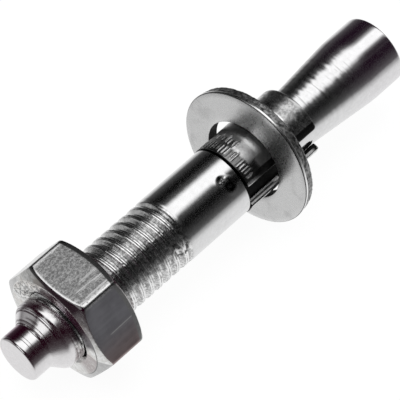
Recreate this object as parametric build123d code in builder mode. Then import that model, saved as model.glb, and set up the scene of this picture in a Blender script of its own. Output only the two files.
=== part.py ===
from build123d import *
import os
from math import radians, sqrt, tan

# Wedge anchor for an 8 mm hole, before it is set. The stud's axis is X: the struck end is at
# X = 0 and the cone is at the far end. Z is up, with one flat of the nut facing up.
# Lengths are in millimetres and angles in degrees. Angles about X start at +Y and turn to +Z.

# Stud, from the struck end to the cone
thread_diameter = 7.96
shank_diameter = 8.0
dog_diameter = 5.3
dog_length = 2.35
dog_edge = 0.3
thread_length = 18.75
lead_angle = 45
runout_length = 0.3
shank_length = 8.45
shank_edge = 0.12
neck_diameter = 6.42
neck_fillet = 0.25
taper_length = 8.73
cone_diameter = 8.0
cone_land = 4.15
cone_edge = 0.3

# Expansion clip, rolled from strip around the neck
clip_length = 10.38
clip_thickness = 0.82
clip_clearance = 0.09
clip_end_play = 0.12
clip_gap_angle = 42
clip_gap_direction = 170.7
clip_corner = 0.35
clip_outer_edge = 0.12
clip_mouth = 0.25

# Nut
nut_across_flats = 12.8
nut_height = 5.8
nut_setback = 1.55
nut_face_inset = 0.52
nut_chamfer_angle = 25
nut_corner_rounding = 0.4
nut_thread_clearance = 0.05
nut_sink = 0.45

# Washer, loose on the stud and leaning where it stands
washer_width = 3.35
washer_thickness = 1.38
washer_clearance = 0.56
washer_along_clip = 3.835
washer_lean = (-3.2, -6.5)
washer_offset = (-0.15, 0.84)
washer_roll = 0.12
washer_hole_edge = 0.12
washer_hole_offset = (0.24, -0.47)
washer_sheared_depth = 0.9
washer_shear_taper = 0.17

# Two measures this close are the same edge when edges are picked out
same = 0.01

# Stations along the axis and radii that follow from the sizes above
dog_radius = dog_diameter / 2
thread_radius = thread_diameter / 2
shank_radius = shank_diameter / 2
neck_radius = neck_diameter / 2
cone_radius = cone_diameter / 2
thread_lead = (thread_radius - dog_radius) / tan(radians(lead_angle))
thread_start = dog_length + thread_lead
thread_end = dog_length + thread_length
shoulder = thread_end + shank_length
shoulder_step = shank_radius - neck_radius
shoulder_edge = min(shank_edge, shoulder_step / 3)
neck_root_radius = min(neck_fillet, shoulder_step / 3)
clip_start = shoulder + clip_end_play
taper_start = clip_start + clip_length + clip_end_play
taper_end = taper_start + taper_length
stud_end = taper_end + cone_land
clip_inner_radius = neck_radius + clip_clearance
clip_outer_radius = clip_inner_radius + clip_thickness
nut_start = thread_start + nut_setback
nut_end = nut_start + nut_height
nut_bore_radius = thread_radius + nut_thread_clearance
nut_face_radius = nut_across_flats / 2 - nut_face_inset
nut_corner_radius = nut_across_flats / sqrt(3)
nut_chamfer_depth = (nut_corner_radius - nut_face_radius) * tan(radians(nut_chamfer_angle))
washer_hole_radius = max(thread_radius, shank_radius, cone_radius, clip_outer_radius) + washer_clearance
washer_radius = washer_hole_radius + washer_width
washer_middle = clip_start + washer_along_clip

os.makedirs("parts", exist_ok=True)

# The stud is one cold-formed blank, so it is one turned profile.
with BuildPart() as stud:
    with BuildSketch(Plane.XY):
        with BuildLine():
            Polyline(
                (0, 0),
                (0, dog_radius - dog_edge),
                (dog_edge, dog_radius),
                (dog_length, dog_radius),
                (thread_start, thread_radius),
                (thread_end - runout_length, thread_radius),
                (thread_end, shank_radius),
                (shoulder - shoulder_edge, shank_radius),
                (shoulder, shank_radius - shoulder_edge),
                (shoulder, neck_radius),
                (taper_start, neck_radius),
                (taper_end, cone_radius),
                (stud_end - cone_edge, cone_radius),
                (stud_end, cone_radius - cone_edge),
                (stud_end, 0),
                close=True,
            )
        make_face()
    revolve(axis=Axis.X)
    neck_root = stud.edges().filter_by(GeomType.CIRCLE).filter_by(
        lambda edge: abs(edge.center().X - shoulder) < same and abs(edge.radius - neck_radius) < same)
    fillet(neck_root, neck_root_radius)
stud.part.label = "stud"
export_step(stud.part, "parts/stud.step")

# The clip is a strip rolled into a C. Its two free edges leave a gap that faces the side.
with BuildPart() as expansion_clip:
    with BuildSketch(Plane.YZ.offset(clip_start)):
        with BuildLine():
            first = clip_gap_direction + clip_gap_angle / 2
            sweep = 360 - clip_gap_angle
            outside = CenterArc((0, 0), clip_outer_radius, first, sweep)
            inside = CenterArc((0, 0), clip_inner_radius, first, sweep)
            Line(inside @ 0, outside @ 0)
            Line(inside @ 1, outside @ 1)
        make_face()
    extrude(amount=clip_length)
    corners = expansion_clip.edges().filter_by(
        lambda edge: edge.geom_type == GeomType.LINE and abs(edge.tangent_at(0.5).X) < same)
    fillet(corners, clip_corner)
    rolled_faces = expansion_clip.faces().filter_by(GeomType.CYLINDER)
    outer_face = rolled_faces.sort_by(SortBy.AREA)[-1]
    fillet(outer_face.edges(), clip_outer_edge)
    mouth = expansion_clip.edges().filter_by(GeomType.CIRCLE).filter_by(
        lambda edge: abs(edge.radius - clip_inner_radius) < same).sort_by(Axis.X)[-1]
    chamfer(mouth, clip_mouth)
expansion_clip.part.label = "expansion_clip"
export_step(expansion_clip.part, "parts/expansion_clip.step")

# The nut's hexagon has a flat at the top and rounded corners. Both ends carry the same turned
# chamfer and thread sink.
with BuildPart() as hex_nut:
    with BuildSketch(Plane.YZ.offset(nut_start)):
        RegularPolygon(nut_across_flats / 2, 6, major_radius=False)
    extrude(amount=nut_height)
    fillet(hex_nut.edges().filter_by(Axis.X), nut_corner_rounding)
    with BuildSketch(Plane.XY):
        with BuildLine():
            Polyline(
                (nut_start, nut_bore_radius + nut_sink),
                (nut_start, nut_face_radius),
                (nut_start + nut_chamfer_depth, nut_corner_radius),
                (nut_end - nut_chamfer_depth, nut_corner_radius),
                (nut_end, nut_face_radius),
                (nut_end, nut_bore_radius + nut_sink),
                (nut_end - nut_sink, nut_bore_radius),
                (nut_start + nut_sink, nut_bore_radius),
                close=True,
            )
        make_face()
    revolve(axis=Axis.X, mode=Mode.INTERSECT)
hex_nut.part.label = "hex_nut"
export_step(hex_nut.part, "parts/hex_nut.step")

# The washer is punched. One face has a rolled rim and an eased hole. Towards the other the rim was
# sheared, so it narrows a little, and the hole isn't quite in the middle.
leaning = Plane(
    origin=(washer_middle, washer_offset[0], washer_offset[1]),
    x_dir=(0, 1, 0),
    z_dir=(1, -tan(radians(washer_lean[0])), tan(radians(washer_lean[1]))),
)
with BuildPart() as washer:
    with BuildSketch(leaning.offset(-washer_thickness / 2)):
        Circle(washer_radius)
        with Locations(washer_hole_offset):
            Circle(washer_hole_radius, mode=Mode.SUBTRACT)
    extrude(amount=washer_thickness)
    ends = washer.faces().filter_by(GeomType.PLANE).sort_by(Axis.X)
    chamfer(ends[-1].outer_wire().edges(), washer_shear_taper, washer_sheared_depth, reference=ends[-1])
    fillet(ends[0].outer_wire().edges(), washer_roll)
    chamfer(ends[0].inner_wires()[0].edges(), washer_hole_edge)
washer.part.label = "washer"
export_step(washer.part, "parts/washer.step")
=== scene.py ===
import math

import bmesh
import bpy
from mathutils import Matrix, Vector, noise


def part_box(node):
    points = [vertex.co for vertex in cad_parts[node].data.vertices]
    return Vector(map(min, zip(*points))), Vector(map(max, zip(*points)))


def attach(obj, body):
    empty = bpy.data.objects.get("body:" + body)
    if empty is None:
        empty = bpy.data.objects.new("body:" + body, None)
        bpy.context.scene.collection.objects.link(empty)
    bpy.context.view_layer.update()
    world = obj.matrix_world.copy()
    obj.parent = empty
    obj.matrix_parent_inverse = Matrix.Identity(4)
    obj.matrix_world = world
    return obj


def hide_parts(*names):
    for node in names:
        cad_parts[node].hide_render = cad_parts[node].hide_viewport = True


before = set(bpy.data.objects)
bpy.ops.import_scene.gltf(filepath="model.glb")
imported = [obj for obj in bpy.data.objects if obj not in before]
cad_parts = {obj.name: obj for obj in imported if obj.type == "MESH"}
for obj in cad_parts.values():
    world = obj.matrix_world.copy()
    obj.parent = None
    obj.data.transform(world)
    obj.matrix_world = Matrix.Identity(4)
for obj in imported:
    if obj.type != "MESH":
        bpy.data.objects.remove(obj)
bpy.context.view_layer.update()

# Values are in millimetres and degrees, and a tone is a grey level or a colour. "Along" runs from the
# struck end to the cone, and "out" is away from that axis. Turns about it start at +Y and go towards
# +Z. In the functions a turn is in degrees and an angle in radians.
mm = 0.001
degree = math.pi / 180
fullTurn = 2 * math.pi
weldDistance = 0.0002 * mm


def smooth(value, low, high):
    # 0 at low, 1 at high, with a soft start and end; low may be the larger one
    share = min(1, max(0, (value - low) / (high - low)))
    return share * share * (3 - 2 * share)


def between(value, low, high, soft):
    # 1 between low and high, 0 outside
    return smooth(value, low - soft, low) * smooth(value, high + soft, high)


def bump(value, middle, halfWidth):
    # 1 in the middle, 0 from half the width on
    return 1 - smooth(abs(value - middle), 0, halfWidth)


def wobble(x, y=0, z=0):
    # smooth noise between about -1 and 1
    return noise.noise(Vector((x, y, z)))


def wobbleRound(along, angle, radius):
    # the same noise on a circle, so that it meets itself after a whole turn
    return wobble(along, radius * math.cos(angle), radius * math.sin(angle))


def section(corners, closed=False, bendSteps=3):
    # corners are (along, out, rounding, pieces): pieces divides the straight run after that corner
    count = len(corners)
    line = []
    for index, (along, out, rounding, pieces) in enumerate(corners):
        here = Vector((along, out))
        before = Vector(corners[index - 1][:2]) - here
        after = Vector(corners[(index + 1) % count][:2]) - here
        isEnd = not closed and index in (0, count - 1)
        if isEnd or rounding == 0:
            line.append(here)
            leave = here
        else:
            enter = here + before.normalized() * min(rounding, 0.49 * before.length)
            leave = here + after.normalized() * min(rounding, 0.49 * after.length)
            for step in range(bendSteps + 1):
                t = step / bendSteps
                line.append(enter.lerp(here, t).lerp(here.lerp(leave, t), t))
        if pieces > 1 and (closed or index < count - 1):
            nextRounding = corners[(index + 1) % count][2]
            if not closed and index + 1 == count - 1:
                nextRounding = 0
            arrive = here + after - after.normalized() * min(nextRounding, 0.49 * after.length)
            line.extend(leave.lerp(arrive, step / pieces) for step in range(1, pieces))
    return line


def turned(along, out, angle):
    return (along, out * math.cos(angle), out * math.sin(angle))


def linked(name, data):
    # a new object in the scene
    made = bpy.data.objects.new(name, data)
    bpy.context.scene.collection.objects.link(made)
    return made


def skin(name, columns, closedSection=False, capped=False, sharpAngle=40):
    # Neighbouring columns of points are joined by quads; points that meet are welded.
    tall = len(columns[0])
    points = [tuple(point * mm for point in spot) for column in columns for spot in column]
    faces = []
    for across in range(len(columns) - 1):
        for up in range(tall if closedSection else tall - 1):
            above = (up + 1) % tall
            near, far = across * tall, (across + 1) * tall
            faces.append((near + up, far + up, far + above, near + above))
    if capped:
        faces.append(tuple(range(tall)))
        faces.append(tuple(reversed(range((len(columns) - 1) * tall, len(columns) * tall))))
    mesh = bpy.data.meshes.new(name)
    mesh.from_pydata(points, [], faces)
    work = bmesh.new()
    work.from_mesh(mesh)
    bmesh.ops.remove_doubles(work, verts=work.verts, dist=weldDistance)
    bmesh.ops.recalc_face_normals(work, faces=work.faces)
    work.to_mesh(mesh)
    work.free()
    mesh.shade_smooth()
    mesh.set_sharp_from_angle(angle=math.radians(sharpAngle))
    return linked(name, mesh)


def fitted(piece, node, body, material):
    piece.data.materials.append(material)
    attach(piece, body)
    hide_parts(node)
    print("made", piece.name, len(piece.data.polygons), "faces")


def secondFinish(piece, material, belongs):
    # the faces that belong to it take another finish
    piece.data.materials.append(material)
    for face in piece.data.polygons:
        face.material_index = 1 if belongs(face) else 0


def placeOf(face):
    # along, out and the angle, from 0 to 360, of a face's middle
    along, side, up = face.center / mm
    return along, math.hypot(side, up), math.degrees(math.atan2(up, side)) % 360


class Wire:
    # wraps a socket, so that sums on it add Math nodes to its tree
    def __init__(self, tree, socket=None):
        self.tree = tree
        self.socket = socket

    def node(self, kind, settings=None, sockets=None, out=0):
        made = self.tree.nodes.new(kind)
        settings = dict(settings or {})
        stops = settings.pop("stops", None)
        for key, value in settings.items():
            setattr(made, key, value)
        if stops:
            elements = made.color_ramp.elements
            elements[0].position = stops[0][0]
            elements[1].position = stops[-1][0]
            for place, shade in stops[1:-1]:
                elements.new(place)
            for element, (place, shade) in zip(elements, stops):
                element.color = (shade, shade, shade, 1)
        for key, value in (sockets or {}).items():
            if isinstance(value, Wire):
                self.tree.links.new(value.socket, made.inputs[key])
            else:
                made.inputs[key].default_value = value
        return Wire(self.tree, made.outputs[out] if made.outputs else None)

    def math(self, operation, *values):
        return self.node("ShaderNodeMath", {"operation": operation}, dict(enumerate(values)))

    def __add__(self, other):
        return self.math("ADD", self, other)

    def __radd__(self, other):
        return self.math("ADD", other, self)

    def __sub__(self, other):
        return self.math("SUBTRACT", self, other)

    def __rsub__(self, other):
        return self.math("SUBTRACT", other, self)

    def __mul__(self, other):
        return self.math("MULTIPLY", self, other)

    def __rmul__(self, other):
        return self.math("MULTIPLY", other, self)

    def __truediv__(self, other):
        return self.math("DIVIDE", self, other)

    def __rtruediv__(self, other):
        return self.math("DIVIDE", other, self)


def freshTree(owner):
    # the emptied node tree of a material or a world
    owner.use_nodes = True
    owner.node_tree.nodes.clear()
    return Wire(owner.node_tree)


def unsigned(value):
    return value.math("ABSOLUTE", value)


def larger(first, second):
    return first.math("MAXIMUM", first, second)


def ramped(value, low, high):
    # soft step from 0 at low to 1 at high; low may be the larger one
    sockets = {"Value": value, "From Min": low, "From Max": high}
    return value.node("ShaderNodeMapRange", {"interpolation_type": "SMOOTHSTEP"}, sockets)


def within(value, low, high, soft):
    # 1 between low and high, 0 outside
    return ramped(value, low - soft, low) * ramped(value, high + soft, high)


def patch(along, turn, lengthwise, roundwise):
    # 1 on a patch, which is (from, to, softness) along the piece and (from, to, softness) round it
    return within(along, *lengthwise) * within(turn, *roundwise)


def read(value, stops):
    # a curve through the stops, all from 0 to 1
    shade = value.node("ShaderNodeValToRGB", {"stops": stops}, {0: value})
    return shade.node("ShaderNodeSeparateColor", {}, {0: shade})


def asColour(tone):
    if isinstance(tone, Wire):
        return tone
    return (*tone, 1) if isinstance(tone, tuple) else (tone, tone, tone, 1)


def tinted(mask, first, second):
    # goes from the first tone to the second with the mask
    sockets = {0: mask, 6: asColour(first), 7: asColour(second)}
    return mask.node("ShaderNodeMix", {"data_type": "RGBA"}, sockets, out=2)


def vectorMath(operation, first, second=None, out=0):
    sockets = {0: first} if second is None else {0: first, 1: second}
    return first.node("ShaderNodeVectorMath", {"operation": operation}, sockets, out)


def grain(place, scale, stretch=(1, 1, 1), detail=3, roughness=0.55):
    # noise from 0 to 1 in the piece's own space; scale is in turns per millimetre
    spread = vectorMath("MULTIPLY", place, tuple(scale / mm * side for side in stretch))
    return place.node(
        "ShaderNodeTexNoise", {},
        {"Vector": spread, "Scale": 1, "Detail": detail, "Roughness": roughness})


def raised(height, depth):
    # a bump whose full height is depth millimetres
    return height.node("ShaderNodeBump", {}, {"Height": height, "Strength": 1, "Distance": depth * mm})


def axes(vector):
    split = vector.node("ShaderNodeSeparateXYZ", {}, {0: vector})
    return [Wire(vector.tree, output) for output in split.socket.node.outputs]


def sides(place):
    # the three coordinates of a place, in millimetres
    return [side / mm for side in axes(place)]


def around(side, up):
    # distance from the axis, and the angle about it from -180 to 180
    squared = side * side + up * up
    return squared.math("SQRT", squared), up.math("ARCTAN2", up, side) / degree


def blankFinish(name):
    material = bpy.data.materials.new(name)
    place = freshTree(material).node("ShaderNodeTexCoord", out="Object")
    return material, place


def completed(place, sockets):
    shader = place.node("ShaderNodeBsdfPrincipled", {}, sockets)
    place.node("ShaderNodeOutputMaterial", {}, {"Surface": shader})


def metalFinish(place, colour, rough, normal, glow=None):
    sockets = {"Base Color": colour, "Metallic": 1, "Roughness": rough, "Normal": normal}
    if glow is not None:
        sockets["Emission Color"] = glow
        sockets["Emission Strength"] = 1
    completed(place, sockets)


def paintedShadeFinish(name, palest):
    # painted shade: a near-black finish for places that lie deep in shade
    material, place = blankFinish(name)
    fine = grain(place, 2.6, detail=4)
    completed(place, {
        "Base Color": tinted(fine, palest / 6, palest), "Roughness": 0.5 + 0.3 * fine,
        "Normal": raised(fine, 0.02), "Specular IOR Level": 0.1})
    return material


stud = {
    # degrees between two columns of points, and closer together around the punch marks
    "columnStep": 2.5,
    "fineStep": 0.7,
    "fineTurns": (103, 138),
    "fineRun": (26.9, 28.9),
    # the shape without its thread
    "faceEdge": 0.3,
    "pointRadius": 2.65,
    "pointEnd": 2.35,
    "leadRounding": 0.3,
    "shankRadius": 4.0,
    "shoulder": 29.55,
    "shoulderEdge": 0.12,
    "neckRadius": 3.21,
    "neckFillet": 0.25,
    "taperStart": 40.17,
    "taperStartRounding": 0.4,
    "taperEnd": 48.9,
    "taperEndRounding": 0.9,
    "ringHeight": 0.016,
    "end": 53.05,
    "endEdge": 0.3,
    # the rolled thread
    "threadRadius": 3.98,
    "threadEnd": 21.1,
    "threadFade": 1.1,
    "threadFormed": (4.4, 6.2),
    "pitch": 1.25,
    "threadDepth": 0.46,
    "threadPhase": -0.24,
    "threadWear": 0.05,
    "threadNicks": 0.035,
    # half a turn of it, as (share of the pitch, share of the depth) from the crest to the root;
    # rolling raises two lips, so the crest has a shallow seam between them
    "threadShape": (
        (0, 0.10), (0.025, 0.08), (0.055, 0.01), (0.075, 0.0), (0.155, 0.0), (0.185, 0.06),
        (0.28, 0.42), (0.38, 0.92), (0.42, 1.0)),
    "seamDepth": 0.11,
    # the lips of the crest are worn away here, as (from, to, softness) round it
    "lipsWorn": (140, 260, 20),
    "lipsLost": 0.8,
    # a groove in front of the first full turn of the thread, as (along, turn) of a place in it
    "firstGroove": (4.98, 100),
    "firstGrooveLead": 2.0,
    "firstGrooveWidth": 0.4,
    "firstGrooveDepth": 0.12,
    "firstGrooveTurns": (70, 160, 15),
    # (along, turn, radius) of the blows of the punch, and of a painted highlight on the metal raised
    # between them
    "punches": ((27.65, 115, 0.56), (28.1, 127.5, 0.68)),
    "punchHighlight": (28.2, 118, 0.3),
    "punchDepth": 0.05,
    "punchRim": 0.02,
    # painted shade: the neck is dark in the clip's gap as far as this, and further on beside the lower
    # cut
    "darkNeckEnd": 36.2,
    "longDarkNeckEnd": 39.6,
    "longDarkNeckTurns": (181, 215),
    "darkNeckOut": 3.6,
    "darkNeckTone": 0.006,
    # radii between which the point's face gives way to its side
    "pointSideFrom": (2.45, 2.55),
    # (from, to, softness) along the stud
    "leadFinish": (2.4, 3.9, 0.1),
    "threadFinish": (4.6, 20.8, 0.5),
    "taperFinish": (40.6, 48.0, 1.5),
    # patches with another tone, as (from, to, softness) along it and then round it; the first two are
    # painted shade
    "darkPointSide": ((0.45, 2.2, 0.1), (20, 76, 6)),
    "shadedTaperSide": ((41, 48, 1.5), (24, 50, 8)),
    "chewedRunOut": ((19.2, 20.8, 0.5), (146, 166, 6)),
    "scuffed": ((27.9, 29.2, 0.4), (114, 128, 4)),
    # (from, to, softness) round it, where turned lines and the seam of the crest show
    "pointLinesSeen": (16, 128, 10),
    "leadLinesSeen": (16, 90, 6),
    "taperLinesSeen": (78, 124, 8),
    "seamSeen": (50, 128, 12),
    # the highlight on the cone's end, with painted shade on both sides of it
    "coneHighlight": (96, 106, 6),
    "highlightSides": (80, 118, 3),
    # thin turned lines on the point, as (first, last) along it
    "pointLines": (
        (0.86, 0.9), (1.2, 1.23), (2.1, 2.18), (2.38, 2.46), (2.64, 2.68), (3.28, 3.37), (3.48, 3.52)),
    # two tones that a grain mixes
    "plainTones": (0.71, (0.90, 0.90, 0.91)),
    "struckTones": (0.03, 0.42),
    "threadTones": (0.36, 0.88),
    # painted light: lighter tones of the thread on its side towards +Y, each after its (from, to,
    # softness) round it
    "threadLitSides": (((46, 78, 14), (0.62, 0.95)), ((-10, 46, 12), (0.82, 1.0))),
    "darkPointTone": (0.30, 0.22, 0.27),
    # a faint painted glow, purplish, that shows in the shade at both ends
    "pointPaintedGlow": (0.011, 0.0, 0.004),
    "conePaintedGlow": (0.007, 0.0, 0.006),
}


def threadTurn():
    # a whole turn: half of it, the root, and its mirror image
    front = list(stud["threadShape"])
    back = [(1 - share, depth) for share, depth in reversed(front[1:])]
    return front + [(0.5, 1.0)] + back


def leadRadius(along):
    # the cone behind the point, rounded where it meets the thread's diameter
    s = stud
    straight = s["pointRadius"] + along - s["pointEnd"]
    short = s["threadRadius"] + s["leadRounding"] - straight
    if short > 2 * s["leadRounding"]:
        return straight
    return s["threadRadius"] - max(0, short) ** 2 / (4 * s["leadRounding"])


def studRadius(along, depth, angle):
    s = stud
    turn = math.degrees(angle)
    if depth < s["seamDepth"]:
        depth *= 1 - s["lipsLost"] * between(turn, *s["lipsWorn"])
    # the thread deepens over the lead and fades out behind
    formed = smooth(along, *s["threadFormed"])
    fade = smooth(along, s["threadEnd"], s["threadEnd"] - s["threadFade"])
    groove = max(0, depth - 1 + formed)
    worn = max(0, wobbleRound(along * 1.1, angle, 2.4))
    nicked = abs(wobbleRound(along * 2.2 + 40, angle, 9))
    lost = s["threadWear"] * worn + s["threadNicks"] * nicked
    out = s["threadRadius"] - (groove * s["threadDepth"] + lost * formed) * fade
    grooveAlong, grooveTurn = s["firstGroove"]
    middle = grooveAlong + s["firstGrooveLead"] * (turn - grooveTurn) / 360
    firstGroove = bump(along, middle, s["firstGrooveWidth"] / 2) * between(turn, *s["firstGrooveTurns"])
    out -= s["firstGrooveDepth"] * firstGroove
    return min(leadRadius(along), max(out, s["pointRadius"]))


def punched(along, out, angle):
    # each blow leaves a rough dent with a raised rim; the gap is 1 at the edge of the dent
    for place, turn, spread in stud["punches"]:
        gap = math.hypot(along - place, (angle - math.radians(turn)) * stud["shankRadius"]) / spread
        rough = 1 + 0.5 * wobble(along * 4, turn + angle * 16)
        out += stud["punchRim"] * bump(gap, 1.2, 0.5) - stud["punchDepth"] * bump(gap, 0, 1) * rough
    return out


def turningRings(along, angle):
    # shallow rings that turning left on the taper
    onTaper = smooth(along, stud["taperStart"], stud["taperStart"] + 1)
    onTaper *= smooth(along, stud["taperEnd"] + 0.4, stud["taperEnd"] - 1.5)
    return stud["ringHeight"] * onTaper * (0.5 + wobbleRound(along * 2.6, angle, 0.3))


def studColumn(turn):
    s = stud
    angle = math.radians(turn)
    front = section([
        (0, 0, 0, 4),
        (0, s["pointRadius"], s["faceEdge"], 6),
        (s["pointEnd"], s["pointRadius"], 0, 1),
    ], bendSteps=5)
    line = [turned(spot.x, spot.y, angle) for spot in front]
    turns = math.ceil((s["threadEnd"] - s["pointEnd"]) / s["pitch"]) + 2
    start = s["pointEnd"] + s["pitch"] * (angle / fullTurn - 1 + s["threadPhase"])
    for loop in range(turns):
        for share, depth in threadTurn():
            along = start + s["pitch"] * (loop + share)
            along = min(s["threadEnd"], max(s["pointEnd"], along))
            line.append(turned(along, studRadius(along, depth, angle), angle))
    fineStart, fineEnd = s["fineRun"]
    rear = section([
        (s["threadEnd"], s["threadRadius"], 0, 1),
        (s["threadEnd"] + 0.1, s["shankRadius"], 0, 24),
        (fineStart, s["shankRadius"], 0, 32),
        (fineEnd, s["shankRadius"], 0, 2),
        (s["shoulder"], s["shankRadius"], s["shoulderEdge"], 1),
        (s["shoulder"], s["neckRadius"], s["neckFillet"], 10),
        (s["taperStart"], s["neckRadius"], s["taperStartRounding"], 110),
        (s["taperEnd"], s["shankRadius"], s["taperEndRounding"], 12),
        (s["end"], s["shankRadius"], s["endEdge"], 5),
        (s["end"], 0, 0, 1),
    ], bendSteps=5)
    for spot in rear:
        out = punched(spot.x, spot.y, angle) - turningRings(spot.x, angle)
        line.append(turned(spot.x, out, angle))
    return line


def studTurns():
    fineFirst, fineLast = stud["fineTurns"]
    turns = [0]
    while turns[-1] < 360:
        step = stud["fineStep"] if fineFirst < turns[-1] < fineLast else stud["columnStep"]
        turns.append(min(360, turns[-1] + step))
    return turns


def fromSeam(along, turn):
    # where a place is on the thread: 0 on the seam of the crest, 0.5 in the root
    winding = (along - stud["pointEnd"]) / stud["pitch"] - turn / 360 - stud["threadPhase"]
    apart = winding.math("WRAP", winding, 1, 0) - 0.5
    return 0.5 - unsigned(apart)


def turnedColour(along, out, turn, speckle, rings):
    s = stud
    colour = tinted(speckle, *s["plainTones"])
    taperLines = ramped(rings, 0.58, 0.68) * patch(along, turn, s["taperFinish"], s["taperLinesSeen"])
    colour = tinted(taperLines, colour, 0.5)
    # painted shade on both sides of the cone's highlight
    shadedSides = within(turn, *s["highlightSides"]) * (1 - within(turn, *s["coneHighlight"]))
    colour = tinted(ramped(along, 48.4, 50) * shadedSides, colour, 0.4)
    # painted shade on one side of the taper
    colour = tinted(patch(along, turn, *s["shadedTaperSide"]), colour, 0.54)
    leadLines = ramped(rings, 0.50, 0.60) * patch(along, turn, s["leadFinish"], s["leadLinesSeen"])
    colour = tinted(leadLines, colour, 0.3)
    lineParts = ramped(out, *s["pointSideFrom"]) * ramped(speckle, 0.3, 0.45)
    for first, last in s["pointLines"]:
        line = patch(along, turn, (first, last, 0.03), s["pointLinesSeen"])
        colour = tinted(line * lineParts, colour, 0.12)
    # painted shade: the point is darker on one side
    darkSide = patch(along, turn, *s["darkPointSide"]) * ramped(out, 2.5, 2.6)
    return tinted(darkSide, colour, s["darkPointTone"])


def rolledColour(place, along, turn, lip, seam, speckle, pits):
    s = stud
    pitted = ramped(pits, 0.38, 0.62)
    colour = tinted(pitted, *s["threadTones"])
    # painted light: the thread is lighter on its side towards +Y
    for roundwise, tones in s["threadLitSides"]:
        colour = tinted(within(turn, *roundwise), colour, tinted(pitted, *tones))
    colour = tinted(lip * ramped(speckle, 0.36, 0.46), colour, 0.97)
    # painted shade in the seam between the lips of the crest
    colour = tinted(ramped(seam, 0.045, 0.02) * within(turn, *s["seamSeen"]), colour, 0.4)
    # dents and a burr where the thread runs out
    chewed = patch(along, turn, *s["chewedRunOut"])
    coarse = grain(place, 1.6, detail=1)
    colour = tinted(chewed * ramped(coarse, 0.50, 0.44), colour, 0.14)
    return tinted(chewed * ramped(coarse, 0.54, 0.58), colour, 1.0)


def struckColour(colour, along, turn, pits):
    # painted shade in the punch marks, and a painted highlight on the metal raised between them
    s = stud
    dark = tinted(ramped(pits, 0.44, 0.60), *s["struckTones"])
    spots = [(spot, dark) for spot in s["punches"]] + [(s["punchHighlight"], 1.0)]
    for (spotAlong, spotTurn, spread), shade in spots:
        ahead = along - spotAlong
        across = (turn - spotTurn) * (s["shankRadius"] * degree)
        ragged = ahead * ahead + across * across + 0.3 * (pits - 0.5)
        colour = tinted(ramped(ragged, (spread * 1.1) ** 2, (spread * 0.8) ** 2), colour, shade)
    return colour


def studFinish():
    s = stud
    material, place = blankFinish("zincOnTurnedSteel")
    along, side, up = sides(place)
    out, turn = around(side, up)
    speckle = grain(place, 2.4)
    pits = grain(place, 2.6, detail=5, roughness=0.75)
    streak = grain(place, 1.7, (0.04, 1, 1), detail=2)
    rings = grain(place, 4.5, (1, 0.05, 0.05), detail=3)
    onPoint = ramped(along, 2.8, 2.4) * ramped(out, *s["pointSideFrom"])
    onLead = within(along, *s["leadFinish"])
    onThread = within(along, *s["threadFinish"])
    onTaper = within(along, *s["taperFinish"])
    seam = fromSeam(along, turn)
    lip = onThread * within(seam, 0.07, 0.16, 0.02)
    plain = turnedColour(along, out, turn, speckle, rings)
    colour = tinted(onThread, plain, rolledColour(place, along, turn, lip, seam, speckle, pits))
    scuffed = patch(along, turn, *s["scuffed"]) * ramped(streak, 0.3, 0.6)
    colour = tinted(scuffed, colour, 0.4)
    colour = struckColour(colour, along, turn, pits)
    # painted shade in the gap between the shoulder and the clip
    shoulderStart = s["shoulder"] - s["shoulderEdge"]
    colour = tinted(within(along, shoulderStart, s["shoulder"] + 0.3, 0.03), colour, 0.02)
    rough = 0.09 + 0.07 * speckle + 0.09 * onThread * (1 - lip) + 0.04 * onTaper + 0.05 * onLead
    height = speckle * 0.35 + streak * 0.9 * (1 - onThread) + rings * (onTaper + onPoint + onLead)
    normal = raised(height + pits * (0.8 + 3.7 * onThread), 0.0035)
    # a faint painted glow at both ends
    glow = tinted(ramped(along, 43, 50), 0, s["conePaintedGlow"])
    glow = tinted(ramped(along, 5.4, 4.2), glow, s["pointPaintedGlow"])
    metalFinish(place, colour, rough, normal, glow)
    return material


def onDarkNeck(face):
    along, out, turn = placeOf(face)
    first, last = stud["longDarkNeckTurns"]
    end = stud["longDarkNeckEnd"] if first < turn < last else stud["darkNeckEnd"]
    return stud["shoulder"] < along < end and out < stud["darkNeckOut"]


print("stud")
studPiece = skin("anchorStud", [studColumn(turn) for turn in studTurns()], sharpAngle=50)
fitted(studPiece, "stud", "stud", studFinish())
# painted shade on the neck where the clip's gap shows it
secondFinish(studPiece, paintedShadeFinish("darkNeck", stud["darkNeckTone"]), onDarkNeck)


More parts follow.
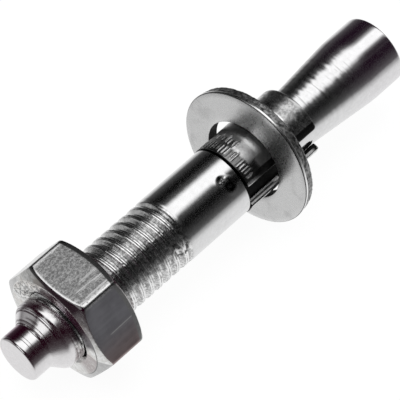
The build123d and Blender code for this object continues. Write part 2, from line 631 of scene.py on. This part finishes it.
clip = {
    "start": 29.67,
    "length": 10.38,
    "inside": 3.30,
    "outside": 4.12,
    "gapMiddle": 170.7,
    "gapAngle": 42,
    "corner": 0.35,
    "edge": 0.14,
    # of the strip's section: near inside, near outside, far outside and far inside
    "roundings": (0.06, 0.12, 0.28, 0.22),
    # rows of short pressed ribs, as (first, last) along, (first, last) turn and degrees apart
    "ribRows": (((29.9, 31.1), (22, 142), 5.4), ((31.3, 32.3), (40, 100), 6.3)),
    "ribSoftness": (0.15, 4),
    "ribHeight": 0.05,
    "ribbedUntil": 32.5,
    "waviness": 0.012,
    # degrees between two columns of points, up to these distances from a cut and then elsewhere
    "stepsAtCut": ((0.12, 0.2), (0.8, 0.7)),
    "stepOnTop": 0.95,
    "topTurns": (10, 150),
    "stepElsewhere": 2,
    # painted shade: the inner edge of the lower cut is dark beyond this, as far as this angle and this
    # radius
    "darkEdgeStart": 35.2,
    "darkEdgeAngle": 5,
    "darkEdgeOut": 3.42,
    "darkEdgeTone": 0.006,
    # radii between which the tone of the ribs starts
    "ribToneFrom": (4.075, 4.10),
    # (from, to, softness) along the clip
    "polishedBand": (32.2, 33.6, 0.4),
    "mottledHalf": (34.4, 40, 0.3),
    # patches with another tone, as (from, to, softness) along it and then round it; the first and the
    # third are painted highlights
    "rubbed": ((31.3, 33.2, 0.4), (92, 118, 8)),
    "drawnSide": ((36.5, 39.6, 0.4), (82, 108, 9)),
    "paintedGlint": ((36.9, 37.3, 0.3), (92, 106, 5)),
    "farLip": ((39.7, 39.95, 0.1), (40, 112, 10)),
    # (from, to, softness) round the clip of the painted shade above the gap
    "darkAboveGap": (138, 152, 2),
    # painted highlights: bright lines on the lower cut, as (from, to, softness) out from the axis
    "cutLines": ((3.38, 3.52, 0.03), (3.76, 3.92, 0.03)),
    # two tones that a grain mixes
    "dullTones": (0.16, 0.34),
    "polishedTones": (0.65, 0.97),
    "mottledTones": (0.36, 1.0),
    "drawnTones": (0.28, 0.60),
    "ribTones": (0.55, 1.0),
    "cutTones": (0.05, 0.2),
}


def lowerCut():
    # the angle of the strip's lower free edge
    return clip["gapMiddle"] + clip["gapAngle"] / 2


def ribAt(along, turn):
    # 1 on a rib; some of them are worn away
    softAlong, softRound = clip["ribSoftness"]
    ribs = 0
    # the rows wander a little, and so do their ends
    for row, ((start, end), (first, last), spacing) in enumerate(clip["ribRows"]):
        shifted = turn + 3.6 * wobble(turn / 9, row * 3.7)
        start += 0.5 * wobble(turn / 5, row * 2.1 + 9)
        end += 0.6 * wobble(turn / 4, row * 5.3 + 4)
        inRow = between(along, start + softAlong, end - softAlong, softAlong)
        inRow *= between(turn, first + softRound, last - softRound, softRound)
        wave = math.cos(fullTurn * (shifted - first) / spacing)
        kept = smooth(wobble(turn / 8, row * 7.7 + 2), -0.45, 0.05)
        ribs += inRow * kept * smooth(wave, -0.1, 0.7)
    return ribs


def roundedOff(radius, fromEdge):
    # how far an edge with this rounding stands back, so near to it
    inward = max(0, radius - fromEdge)
    return radius - math.sqrt(max(0, radius ** 2 - inward ** 2))


def clipColumn(turn, fromCut):
    c = clip
    angle = math.radians(turn)
    cornerCut = roundedOff(c["corner"], fromCut)
    near = c["start"] + cornerCut
    far = c["start"] + c["length"] - cornerCut
    drop = roundedOff(c["edge"], fromCut)
    outside = c["outside"] - drop
    inside = c["inside"] + drop * 0.4
    nearInside, nearOutside, farOutside, farInside = c["roundings"]
    line = section([
        (near, inside, nearInside, 3),
        (near, outside, nearOutside, 110),
        (far, outside, farOutside, 3),
        (far, inside, farInside, 20),
    ], closed=True, bendSteps=4)
    turn = (turn + 60) % 360 - 60  # no rib lies where this jumps
    column = []
    for spot in line:
        out = spot.y
        if out > outside - 0.02:
            ribbed = smooth(fromCut, 0.2, 0.8) * smooth(spot.x, c["ribbedUntil"] + 0.5, c["ribbedUntil"])
            out -= c["ribHeight"] * (1 - ribAt(spot.x, turn)) * ribbed
            out -= c["waviness"] * (1 + wobbleRound(spot.x * 1.3, angle, 3))
        column.append(turned(spot.x, out, angle))
    return column


def clipStep(turn, fromCut):
    for distance, step in clip["stepsAtCut"]:
        if fromCut < distance:
            return step
    first, last = clip["topTurns"]
    return clip["stepOnTop"] if first < turn % 360 < last else clip["stepElsewhere"]


def clipColumns():
    sweep = 360 - clip["gapAngle"]
    perDegree = clip["outside"] * degree
    turns = [0]
    while turns[-1] < sweep:
        fromCut = min(turns[-1], sweep - turns[-1]) * perDegree
        turns.append(min(sweep, turns[-1] + clipStep(lowerCut() + turns[-1], fromCut)))
    return [clipColumn(lowerCut() + turn, min(turn, sweep - turn) * perDegree) for turn in turns]


def cutColour(along, out, fine):
    # painted light on the lower cut: two bright lines and a bright spot are painted highlights, and
    # painted shade darkens its inner half towards the cone
    innerLine, outerLine = (within(out, *line) for line in clip["cutLines"])
    brightEnd = within(along, 33.5, 34.2, 0.15) * ramped(out, 3.75, 3.6)
    lines = larger((innerLine + outerLine) * ramped(along, 34.2, 32.8), brightEnd)
    nearPart = tinted(lines, tinted(fine, *clip["cutTones"]), 1.0)
    outerHalf = ramped(out, 3.68, 3.78) * ramped(along, 39.6, 39.0)
    return tinted(ramped(along, 35.0, 35.6), nearPart, tinted(outerHalf, 0.01, 0.55))


def clipFinish():
    c = clip
    material, place = blankFinish("darkRolledStrip")
    along, side, up = sides(place)
    out, turn = around(side, up)
    fine = grain(place, 3)
    drawn = grain(place, 2.6, (0.15, 1, 1))
    wide = grain(place, 0.8)
    ribs = ramped(out, *c["ribToneFrom"]) * within(along, 29.8, c["ribbedUntil"], 0.2)
    dull = tinted(ramped(drawn, 0.3, 0.7), *c["dullTones"])
    polished = tinted(ramped(wide, 0.35, 0.6), *c["polishedTones"])
    # a polished band, and a painted highlight where the lamp shows on the clip
    polish = larger(patch(along, turn, *c["rubbed"]), within(along, *c["polishedBand"]) * 0.6)
    colour = tinted(polish, dull, polished)
    mottled = tinted(ramped(fine * 0.5 + wide * 0.5, 0.36, 0.64), *c["mottledTones"])
    colour = tinted(within(along, *c["mottledHalf"]), colour, mottled)
    drawnTone = tinted(ramped(fine, 0.3, 0.7), *c["drawnTones"])
    colour = tinted(patch(along, turn, *c["drawnSide"]), colour, drawnTone)
    # a painted highlight beside the washer's far rim
    paintedGlint = patch(along, turn, *c["paintedGlint"])
    colour = tinted(paintedGlint, colour, 1.0)
    colour = tinted(ribs, colour, tinted(ramped(fine, 0.25, 0.55), *c["ribTones"]))
    # painted shade above the gap
    aboveGap = within(turn, *c["darkAboveGap"]) * ramped(along, 30.0, 31.8)
    colour = tinted(aboveGap, colour, 0.07)
    # painted shade at the near edge, against the shoulder
    nearEdge = ramped(along, c["start"] + 0.16, c["start"] + 0.05)
    colour = tinted(nearEdge, colour, 0.03)
    colour = tinted(patch(along, turn, *c["farLip"]), colour, 0.55)
    onCut = within(turn - (lowerCut() - 360), -1, 0.35, 0.2)
    colour = tinted(onCut, colour, cutColour(along, out, fine))
    rough = 0.16 + 0.12 * fine + 0.14 * ribs + 0.16 * polish + 0.25 * onCut - 0.1 * paintedGlint
    metalFinish(place, colour, rough, raised(fine * 0.6 + drawn, 0.006))
    return material


def onInnerEdge(face):
    along, out, turn = placeOf(face)
    onEdge = -1 < turn - lowerCut() < clip["darkEdgeAngle"]
    return onEdge and along > clip["darkEdgeStart"] and out < clip["darkEdgeOut"]


print("expansion clip")
clipPiece = skin("splitClip", clipColumns(), closedSection=True, capped=True, sharpAngle=60)
fitted(clipPiece, "expansion_clip", "clip", clipFinish())
# painted shade on the inner edge of the lower cut
secondFinish(clipPiece, paintedShadeFinish("darkInnerEdge", clip["darkEdgeTone"]), onInnerEdge)


nut = {
    "start": 5.23,
    "height": 5.8,
    "acrossFlats": 12.8,
    "faceRadius": 5.88,
    "chamferAngle": 25,
    "bore": 4.03,
    "sink": 0.45,
    "cornerRounding": 0.42,
    "sinkRounding": 0.05,
    "faceRounding": 0.07,
    "edgeRounding": 0.09,
    # the edge is rounded more at the corners, where the hexagon reaches these shares of half its flats
    "cornerSoftening": 0.3,
    "cornerReach": (1.08, 1.15),
    # degrees from a corner to the columns of points, as far as the middle of a flat
    "cornerSteps": [0, 0.3, 0.6, 0.9, 1.3, 1.8, 2.5, 4, 8, 12, 16, 20, 25, 30],
    # (along, sideways) at both ends of the scratch on the flat that faces 150 degrees
    "scratch": ((7.62, 0.72), (10.6, 0.66)),
    # how far a face has to look along the stud to belong to an end
    "endFacing": 0.4,
    # what shows on the ends, as (from, to, softness) round them; the last three are painted shade
    "veins": (14, 90, 12),
    "brightChamfer": (40, 196, 14),
    "paintedSinkShade": (30, 104, 8),
    "paintedFaceShade": (104, 160, 10),
    "paintedChamferShade": (84, 116, 8),
    # two tones that a grain mixes
    "flatTones": (0.15, 0.52),
    "wornAndLitTones": (0.7, 1.0),
    "endTones": ((0.68, 0.68, 0.66), 0.93),
    "dullChamferTones": (0.38, 0.66),
    # from the top to the middle of the flats in painted shade, and from the top of the painted shade on
    # the face down
    "darkFlatTones": ((0.33, 0.325, 0.355), (0.30, 0.235, 0.235)),
    "paintedFaceShadeTones": ((0.66, 0.62, 0.66), (0.16, 0.15, 0.16)),
    "stainTone": (0.66, 0.63, 0.60),
    "underTone": (0.44, 0.40, 0.40),
    # a faint painted glow, purplish, in the shade of the upper side
    "upperPaintedGlow": (0.009, 0.0, 0.004),
}


def hexRadius(turn):
    # distance from the axis to the hexagon's outline, with rounded corners
    flat = nut["acrossFlats"] / 2
    rounding = nut["cornerRounding"]
    offFlat = (turn % 60) - 30
    bend = math.degrees(math.atan((flat - rounding) * math.tan(math.pi / 6) / flat))
    if abs(offFlat) <= bend:
        return flat / math.cos(math.radians(offFlat))
    offCorner = math.radians(30 - abs(offFlat))
    centre = (flat - rounding) / math.cos(math.pi / 6)
    return centre * math.cos(offCorner) + math.sqrt(rounding ** 2 - (centre * math.sin(offCorner)) ** 2)


def chamferRun(outer):
    # how far the chamfer reaches along the nut, where the hexagon is this far out
    return (outer - nut["faceRadius"]) * math.tan(math.radians(nut["chamferAngle"]))


def nutColumn(turn):
    n = nut
    outer = hexRadius(turn)
    chamfer = chamferRun(outer)
    start, end = n["start"], n["start"] + n["height"]
    atCorner = smooth(outer / (n["acrossFlats"] / 2), *n["cornerReach"])
    edge = n["edgeRounding"] + n["cornerSoftening"] * atCorner
    face, sink = n["faceRounding"], n["sinkRounding"]
    line = section([
        (start + n["sink"], n["bore"], sink, 2),
        (start, n["bore"] + n["sink"], sink, 3),
        (start, n["faceRadius"], face, 3),
        (start + chamfer, outer, edge, 6),
        (end - chamfer, outer, edge, 3),
        (end, n["faceRadius"], face, 3),
        (end, n["bore"] + n["sink"], sink, 2),
        (end - n["sink"], n["bore"], sink, 6),
    ], closed=True)
    return [turned(spot.x, spot.y, math.radians(turn)) for spot in line]


def nutColumns():
    steps = nut["cornerSteps"]
    toCorner = steps + [60 - step for step in reversed(steps[:-1])]
    turns = [side * 60 + step for side in range(6) for step in toCorner[:-1]]
    return [nutColumn(turn) for turn in turns + [360]]


def nutFlatFinish():
    n = nut
    material, place = blankFinish("zincOnForgedFlats")
    along, side, up = sides(place)
    out, turn = around(side, up)
    mottle = grain(place, 4.2, (0.7, 1, 1), detail=7, roughness=0.85)
    wide = grain(place, 0.5)
    drawn = grain(place, 2.2, (0.1, 1, 1), detail=2)
    # across each flat from its middle, and along it from the curved line that ends the chamfer
    flatAngle = (turn.math("WRAP", turn, 60, 0) - 30) * degree
    across = out * flatAngle.math("SINE", flatAngle)
    edgeStart = n["start"] + chamferRun((n["acrossFlats"] / 2) / flatAngle.math("COSINE", flatAngle))
    pastEdge = along - edgeStart
    toFarEdge = edgeStart - (2 * n["start"] + n["height"]) + along
    # the upper flats are bright and blotched, and those that face -Y are painted dark, as shade
    shadedFlats = ramped(side, -3.4, -4.2)
    litFlats = 1 - shadedFlats
    blotch = ramped(mottle * 0.9 + drawn * 0.1, 0.40, 0.62)
    colour = tinted(blotch, *n["flatTones"])
    colour = tinted(ramped(drawn, 0.52, 0.62) * ramped(across, -0.4, 2.2), colour, 0.62)
    dark = tinted(ramped(up, 3.4, -0.2), *n["darkFlatTones"])
    rubbed = tinted(ramped(drawn * 0.4 + wide * 0.6, 0.35, 0.65), 0.86, 1.12)
    colour = tinted(shadedFlats, colour, vectorMath("MULTIPLY", dark, rubbed))
    (scratchStart, scratchFrom), (scratchEnd, scratchTo) = n["scratch"]
    slant = (scratchTo - scratchFrom) / (scratchEnd - scratchStart)
    offLine = across - scratchFrom - (along - scratchStart) * slant
    scratch = within(along, scratchStart, scratchEnd, 0.5) * ramped(unsigned(offLine), 0.09, 0.02)
    colour = tinted(scratch * shadedFlats * ramped(drawn, 0.2, 0.5), colour, 0.62)
    # plating is worn bright at the near edge and at the corners, and a painted highlight there stands
    # for light on the rounded edge
    wornCorner = ramped(unsigned(across), 3.05, 3.4) * ramped(mottle, 0.35, 0.5)
    worn = larger(ramped(pastEdge, 0.34, 0.12), wornCorner) * litFlats
    colour = tinted(worn, colour, tinted(mottle, *n["wornAndLitTones"]))
    # painted shade along the far edge of the flats
    farEdge = within(toFarEdge, -0.44, 0.3, 0.12)
    colour = tinted(farEdge * litFlats, colour, 0.05)
    colour = tinted(farEdge * shadedFlats, colour, tinted(mottle, 0.12, 0.5))
    # painted light: the flats that face +Y are nearly white
    colour = tinted(ramped(side, 3.7, 4.6), colour, 0.97)
    rough = 0.17 + 0.12 * mottle + 0.08 * shadedFlats
    normal = raised(mottle * (1 - 0.8 * shadedFlats) + drawn * 0.5, 0.012)
    metalFinish(place, colour, rough, normal)
    return material


def nutEndFinish():
    n = nut
    rim = n["faceRadius"]  # where the face ends and the chamfer starts
    material, place = blankFinish("zincOnTurnedEnds")
    side, up = sides(place)[1:]
    out, turn = around(side, up)
    fine = grain(place, 3, detail=4)
    swirl = grain(place, 0.9, detail=2)
    stain = grain(place, 0.7)
    vein = unsigned(grain(place, 1.5, detail=4, roughness=0.7) - 0.5)
    onFace = ramped(out, rim, rim - 0.06)
    onChamfer = ramped(out, rim + 0.02, rim + 0.1)
    colour = tinted(ramped(fine, 0.3, 0.7), *n["endTones"])
    colour = tinted(ramped(stain, 0.5, 0.7), colour, n["stainTone"])
    veins = ramped(vein, 0.06, 0.015) * within(turn, *n["veins"]) * onFace
    colour = tinted(veins, colour, 0.2)
    dullChamfer = onChamfer * (1 - within(turn, *n["brightChamfer"]))
    colour = tinted(dullChamfer, colour, tinted(fine, *n["dullChamferTones"]))
    # painted shade where the stud enters the sink
    paintedSinkShade = within(out, n["bore"] + 0.3, n["bore"] + 0.62, 0.08) * within(turn, *n["paintedSinkShade"])
    colour = tinted(paintedSinkShade * ramped(fine, 0.44, 0.52), colour, 0.05)
    # painted shade darkens one side of the face, up to the line where the chamfer starts
    paintedFaceShade = tinted(ramped(turn, 118, 148), *n["paintedFaceShadeTones"])
    colour = tinted(within(turn, *n["paintedFaceShade"]) * onFace * ramped(fine, 0.1, 0.4), colour, paintedFaceShade)
    # painted shade on the chamfer at the top
    colour = tinted(ramped(up, 6.0, 6.14), colour, 0.10)
    paintedChamferShade = within(turn, *n["paintedChamferShade"]) * ramped(out, rim + 0.06, rim + 0.14)
    colour = tinted(paintedChamferShade, colour, 0.16)
    underside = ramped(unsigned(turn), 130, 150)
    pinkish = underside * ramped(turn, 0, -1) * onFace
    colour = tinted(pinkish * ramped(fine, 0.1, 0.6), colour, n["underTone"])
    colour = tinted(within(out, rim - 0.03, rim + 0.05, 0.03) * underside, colour, 0.2)
    # a faint painted glow on the upper side
    glow = tinted(ramped(up, 2.0, 4.0) * ramped(side, 3.0, 0.5), 0, n["upperPaintedGlow"])
    metalFinish(place, colour, 0.14 + 0.12 * fine, raised(fine * 0.25 + swirl, 0.035), glow)
    return material


def onNutEnd(face):
    # the faces and chamfers at both ends
    return abs(face.normal.x) > nut["endFacing"]


print("nut")
nutPiece = skin("hexagonNut", nutColumns(), closedSection=True, sharpAngle=40)
fitted(nutPiece, "hex_nut", "nut", nutFlatFinish())
secondFinish(nutPiece, nutEndFinish(), onNutEnd)


washer = {
    "columns": 240,
    "middle": (33.505, -0.15, 0.84),
    "lean": (-3.2, -6.5),
    "radius": 8.022,
    "hole": 4.68,
    "holeOffset": (0.24, -0.47),
    "thickness": 1.38,
    "roll": 0.12,
    # the cut rim is smooth for this width, and then torn and tapered
    "bandWidth": 0.3,
    "shearTaper": 0.17,
    "fracture": 0.07,
    "bandRounding": 0.06,
    "farRimRounding": 0.2,
    "farHoleRounding": 0.05,
    # the hole's wall, which is painted dark as shade, is all within this
    "wallOut": 5.4,
    "wallTone": 0.06,
    # two tones that a grain mixes, and the tones of the smooth band and the rolled edge, whose dark tone
    # is painted shade
    "plainTones": (0.70, 0.92),
    "tornTones": (0.10, 0.42),
    "bandTone": 0.95,
    "rolledEdgeTone": 0.16,
}


def washerSpace():
    # the washer's own axis, and two directions across it
    leanSide, leanUp = (math.radians(lean) for lean in washer["lean"])
    facing = Vector((1, -math.tan(leanSide), math.tan(leanUp))).normalized()
    across = Vector((0, 1, 0))
    across = (across - facing * across.dot(facing)).normalized()
    return facing, across, facing.cross(across)


def bandEnd():
    # where the smooth band of the rim ends, along the washer's axis from its middle
    return washer["bandWidth"] - washer["thickness"] / 2


def washerColumn(angle):
    w = washer
    facing, across, upward = washerSpace()
    offset = math.hypot(*w["holeOffset"])
    apart = angle - math.atan2(w["holeOffset"][1], w["holeOffset"][0])
    hole = offset * math.cos(apart) + math.sqrt(w["hole"] ** 2 - (offset * math.sin(apart)) ** 2)
    half = w["thickness"] / 2
    line = section([
        (-half, hole, w["roll"], 6),
        (-half, w["radius"], w["roll"], 2),
        (bandEnd(), w["radius"], w["bandRounding"], 14),
        (half, w["radius"] - w["shearTaper"], w["farRimRounding"], 6),
        (half, hole, w["farHoleRounding"], 8),
    ], closed=True)
    outward = across * math.cos(angle) + upward * math.sin(angle)
    column = []
    for spot in line:
        out = spot.y
        # the rim is rough where it was torn
        if out > w["radius"] - w["shearTaper"] - 0.25 and spot.x > bandEnd() - 0.02:
            torn = abs(wobbleRound(spot.x * 3.2, angle, 14.4))
            out -= w["fracture"] * smooth(spot.x, bandEnd(), bandEnd() + 0.12) * torn * 2
        column.append(Vector(w["middle"]) + facing * spot.x + outward * out)
    return column


def awayFrom(place, centre, axis):
    # how far a place is along an axis and out from it, in millimetres
    offset = vectorMath("SUBTRACT", place, centre * mm)
    depth = vectorMath("DOT_PRODUCT", offset, axis, "Value") / mm
    length = vectorMath("LENGTH", offset, out="Value") / mm
    squared = length * length - depth * depth
    return depth, squared.math("SQRT", squared)


def washerFinish():
    w = washer
    material, place = blankFinish("mattZincWasher")
    fine = grain(place, 3.2, detail=4)
    wide = grain(place, 0.5)
    depth, out = awayFrom(place, Vector(w["middle"]), washerSpace()[0])
    onRim = ramped(out, 7.58, 7.68)
    burnished = onRim * ramped(depth, bandEnd() + 0.02, bandEnd() - 0.04) * ramped(depth, -0.6, -0.54)
    torn = onRim * ramped(depth, bandEnd(), bandEnd() + 0.08)
    rolledEdge = ramped(out, 7.93, 7.97) * ramped(depth, -0.56, -0.62)
    colour = tinted(fine, *w["plainTones"])
    colour = tinted(ramped(wide, 0.5, 0.7), colour, w["plainTones"][0])
    colour = tinted(torn, colour, tinted(ramped(fine, 0.35, 0.65), *w["tornTones"]))
    colour = tinted(burnished, colour, w["bandTone"])
    # painted shade on the rolled edge
    colour = tinted(rolledEdge, colour, w["rolledEdgeTone"])
    rough = 0.22 + 0.12 * fine + 0.12 * torn - 0.1 * burnished
    metalFinish(place, colour, rough, raised(fine, 0.006))
    return material


def inHoleWall(face):
    # whether a face of the washer looks towards the middle of the hole
    facing = washerSpace()[0]
    towards = Vector(washer["middle"]) * mm - face.center
    towards -= facing * towards.dot(facing)
    looksIn = abs(face.normal.dot(facing)) < 0.6 and face.normal.dot(towards) > 0
    return looksIn and towards.length < washer["wallOut"] * mm


print("washer")
washerTurns = [fullTurn * step / washer["columns"] for step in range(washer["columns"] + 1)]
washerPiece = skin(
    "looseWasher", [washerColumn(angle) for angle in washerTurns], closedSection=True, sharpAngle=50)
fitted(washerPiece, "washer", "washer", washerFinish())
# painted shade on the wall of the hole
secondFinish(washerPiece, paintedShadeFinish("darkPunchedWall", washer["wallTone"]), inHoleWall)


# Here places and sizes are in metres, apart from the camera's.
studio = {
    "cameraPlace": (-99.177, -124.575, 250.767),
    "cameraRight": (0.68776, -0.72571, -0.01662),
    "cameraDown": (-0.59958, -0.55529, -0.57599),
    "lens": 270,
    "sensor": 36,
    "clipping": (0.01, 10),
    "floorSize": 3.0,
    "floorGap": 2e-5,
    "floorTone": 0.95,
    # how much of the floor's look is plain white rather than shaded
    "floorWhiteness": 0.94,
    "lampSize": (0.5, 0.3),
    "lampPlace": (0.03, 0.03, 0.5),
    "lampPower": 1.5,
    # what the metal mirrors; its strip light lies along the anchor, and its width changes on the way
    "skyTilt": 0.107,
    "darkerBehind": 0.33,
    # level against height, from straight down at 0 to straight up at 1
    "skyStops": [
        (0.0, 0.87), (0.09, 0.83), (0.19, 0.83), (0.27, 0.76), (0.35, 0.47), (0.39, 0.34), (0.43, 0.11),
        (0.54, 0.05), (0.64, 0.020), (0.73, 0.002), (1.0, 0.0),
    ],
    "stripAngle": 79.3,
    "stripSkew": 9,
    "stripWidest": 60,
    # half the strip's width as a share of stripWidest, from facing -X at 0 to facing +X at 1
    "stripStops": [
        (0.0, 0.58), (0.1, 0.5), (0.2, 0.0), (0.38, 0.0), (0.5, 0.42), (0.6, 0.5), (0.65, 0.42),
        (0.7, 0.34), (1.0, 0.34),
    ],
    "stripSoftness": 9,
    "stripLevel": 1.12,
    # a glow outside the strip, where X is past these
    "haloLevel": 0.08,
    "haloReach": 30,
    "haloFrom": (0, 0.3),
    # a weak light from the side: where it starts and is full, in X, Y and Z
    "sideLevel": 0.36,
    "sideFrom": ((-0.15, -0.5), (0.42, 0.66), (0.55, 0.2)),
}


def studioFloor():
    # the anchor lies on a lower edge of the nut and on the washer's rim
    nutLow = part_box("hex_nut")[0]
    washerLow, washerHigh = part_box("washer")
    fall = (nutLow.z - washerLow.z) / ((washerLow.x + washerHigh.x) / 2 - nutLow.x)
    middle = (nutLow.x + washerHigh.x) / 2
    half = studio["floorSize"] / 2
    corners = []
    for x, y in ((-half, -half), (half, -half), (half, half), (-half, half)):
        drop = studio["floorGap"] + (middle + x - nutLow.x) * fall
        corners.append((middle + x, y, nutLow.z - drop))
    mesh = bpy.data.meshes.new("studioFloor")
    mesh.from_pydata(corners, [], [(0, 1, 2, 3)])
    floor = linked("studioFloor", mesh)
    material = bpy.data.materials.new("paleFloor")
    tree = freshTree(material)
    shaded = tree.node("ShaderNodeBsdfDiffuse", {}, {"Color": asColour(studio["floorTone"])})
    white = tree.node("ShaderNodeEmission", {}, {"Color": asColour(1), "Strength": 1})
    seen = tree.node("ShaderNodeLightPath", out="Is Camera Ray") * studio["floorWhiteness"]
    mixed = tree.node("ShaderNodeMixShader", {}, {0: seen, 1: shaded, 2: white})
    tree.node("ShaderNodeOutputMaterial", {}, {"Surface": mixed})
    mesh.materials.append(material)
    floor.visible_glossy = False


def studioWorld():
    # plain white light on the floor, and a drawn studio in what the metal mirrors
    s = studio
    world = bpy.data.worlds.new("softStudio")
    tree = freshTree(world)
    x, y, z = axes(tree.node("ShaderNodeTexCoord", out="Generated"))
    height = z + y * s["skyTilt"] - x.math("MINIMUM", x, 0) * s["darkerBehind"]
    sky = read(height * 0.5 + 0.5, s["skyStops"])
    offMiddle = z.math("ARCTAN2", z, y) / degree - s["stripAngle"] - x * s["stripSkew"]
    halfWidth = read(x * 0.5 + 0.5, s["stripStops"]) * s["stripWidest"]
    inside = halfWidth - unsigned(offMiddle)
    strip = ramped(inside, -s["stripSoftness"], s["stripSoftness"])
    halo = ramped(inside, -s["haloReach"], 0) * ramped(x, *s["haloFrom"])
    sideX, sideY, sideZ = s["sideFrom"]
    fromSide = ramped(x, *sideX) * ramped(y, *sideY) * ramped(z, *sideZ)
    level = larger(sky, strip * s["stripLevel"]) + halo * s["haloLevel"]
    level = larger(level, fromSide * s["sideLevel"])
    glossy = tree.node("ShaderNodeLightPath", out="Is Glossy Ray")
    strength = glossy * level + (1 - glossy)
    background = tree.node("ShaderNodeBackground", {}, {"Color": asColour(1), "Strength": strength})
    tree.node("ShaderNodeOutputWorld", {}, {"Surface": background})
    bpy.context.scene.world = world


def studioLamp():
    light = bpy.data.lights.new("overheadLamp", "AREA")
    light.shape = "RECTANGLE"
    light.size, light.size_y = studio["lampSize"]
    light.energy = studio["lampPower"]
    lamp = linked("overheadLamp", light)
    lamp.location = studio["lampPlace"]
    lamp.visible_glossy = False


def studioCamera():
    data = bpy.data.cameras.new("camera")
    data.lens = studio["lens"]
    data.sensor_width = studio["sensor"]
    data.clip_start, data.clip_end = studio["clipping"]
    right = Vector(studio["cameraRight"]).normalized()
    down = Vector(studio["cameraDown"]).normalized()
    back = right.cross(-down)
    aim = Matrix((right, back.cross(right), back)).transposed().to_4x4()
    camera = linked("camera", data)
    camera.matrix_world = Matrix.Translation(Vector(studio["cameraPlace"]) * mm) @ aim
    bpy.context.scene.camera = camera


print("studio")
studioFloor()
studioWorld()
studioLamp()
studioCamera()
bpy.context.scene.view_settings.view_transform = "Standard"
